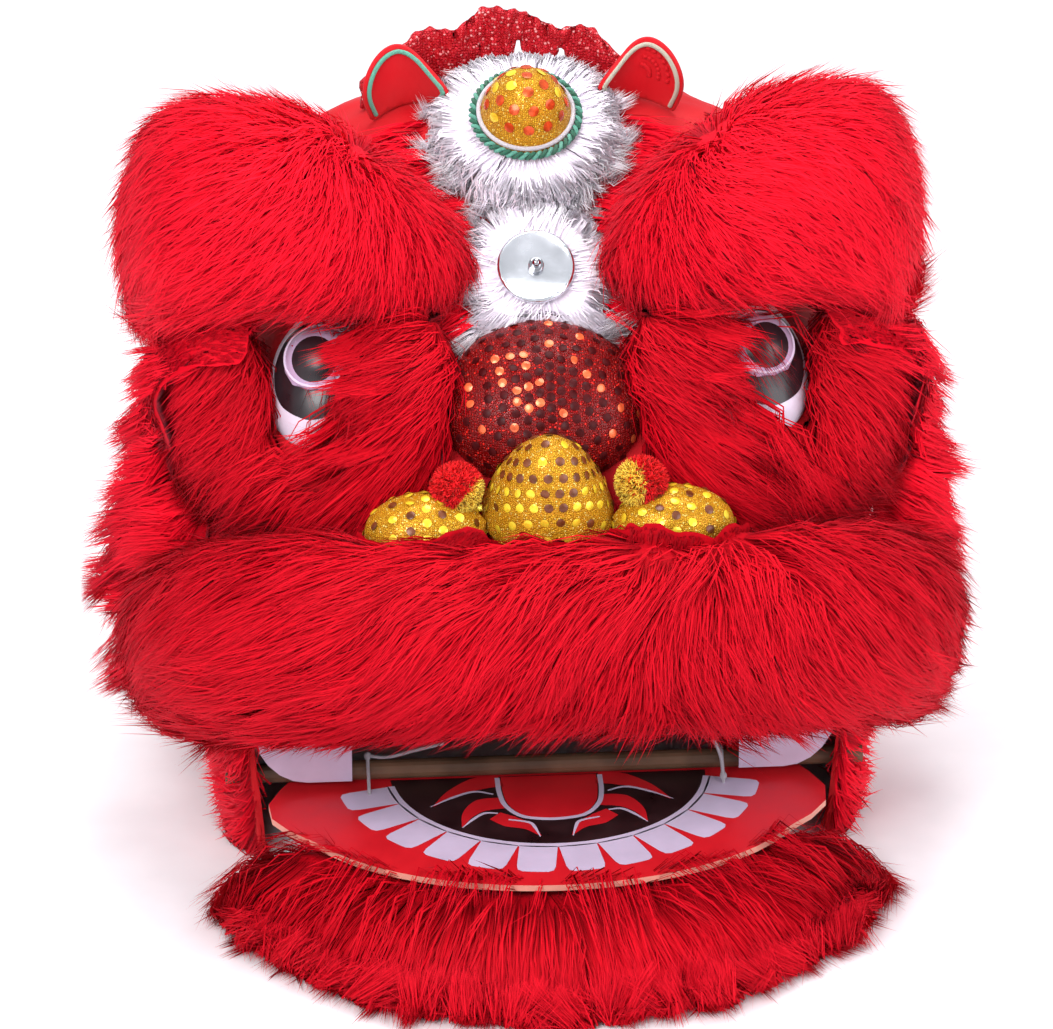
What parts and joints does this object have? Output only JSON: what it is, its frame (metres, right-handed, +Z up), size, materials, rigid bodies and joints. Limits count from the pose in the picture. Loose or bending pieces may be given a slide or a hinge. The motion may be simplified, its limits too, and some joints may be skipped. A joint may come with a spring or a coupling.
{
  "type": "lion dance head",
  "caption": "Hollow lion dance head with furry brows, cheeks and lip, sequin nose and horn, mirror, ears and a bearded lower jaw that turns on a bar.",
  "frame": {"origin": "on the floor under the middle of the whole head, beard included", "axes": "+Z up from the lower rim, face and beard towards -Y, +X to the right of a person who looks at the face"},
  "size_m": [0.4035, 0.4206, 0.3594],
  "materials": {
    "head_shell": "red cloth over a light hoop frame, dark inside",
    "mouth_bar": "plain brown wood",
    "jaw_board": "printed red board with a pale edge",
    "jaw_tie_left": "white string",
    "jaw_tie_right": "white string",
    "beard_fur": "long red fur",
    "corner_tooth_left": "white plate",
    "corner_tooth_right": "white plate",
    "lip_fur": "long red fur",
    "nose_bridge": "dark red sequin cloth",
    "nose_tip": "gold sequin cloth",
    "nostril_left": "gold sequin cloth",
    "nostril_right": "gold sequin cloth",
    "pompom_left": "red and yellow yarn",
    "pompom_right": "red and yellow yarn",
    "eye_plate_left": "white plate with a black liner",
    "eye_plate_right": "white plate with a black liner",
    "eyeball_left": "glossy painted dome",
    "eyeball_right": "glossy painted dome",
    "cheek_fur_left": "long red fur",
    "cheek_fur_right": "long red fur",
    "side_mane_left": "long red fur",
    "side_mane_right": "long red fur",
    "brow_fur_left": "long red fur",
    "brow_fur_right": "long red fur",
    "mirror_disc": "silvered dish",
    "mirror_knob": "polished knob",
    "mirror_fur": "white fur",
    "horn": "gold sequin cloth",
    "horn_trim": "green braid",
    "horn_fur": "white fur",
    "ear_left": "red cloth with a mint cord",
    "ear_right": "red cloth with a mint cord",
    "crest_ruffle": "gathered shiny red cloth"
  },
  "bodies": {
    "head": {"head_shell": "head_shell", "mouth_bar": "mouth_bar", "corner_tooth_left": "corner_tooth_left", "corner_tooth_right": "corner_tooth_right", "lip_fur": "lip_fur", "nose_bridge": "nose_bridge", "nose_tip": "nose_tip", "nostril_left": "nostril_left", "nostril_right": "nostril_right", "pompom_left": "pompom_left", "pompom_right": "pompom_right", "eye_plate_left": "eye_plate_left", "eye_plate_right": "eye_plate_right", "eyeball_left": "eyeball_left", "eyeball_right": "eyeball_right", "cheek_fur_left": "cheek_fur_left", "cheek_fur_right": "cheek_fur_right", "side_mane_left": "side_mane_left", "side_mane_right": "side_mane_right", "brow_fur_left": "brow_fur_left", "brow_fur_right": "brow_fur_right", "mirror_disc": "mirror_disc", "mirror_knob": "mirror_knob", "mirror_fur": "mirror_fur", "horn": "horn", "horn_trim": "horn_trim", "horn_fur": "horn_fur", "ear_left": "ear_left", "ear_right": "ear_right", "crest_ruffle": "crest_ruffle"},
    "jaw": {"jaw_board": "jaw_board", "jaw_tie_left": "jaw_tie_left", "jaw_tie_right": "jaw_tie_right", "beard_fur": "beard_fur"}
  },
  "joints": [
    {"name": "jaw_turn", "type": "hinge", "parent": "head", "child": "jaw", "pos_m": [0, -0.03, 0.038], "axis": [1, 0, 0], "range_deg": [-20, 30]}
  ]
}
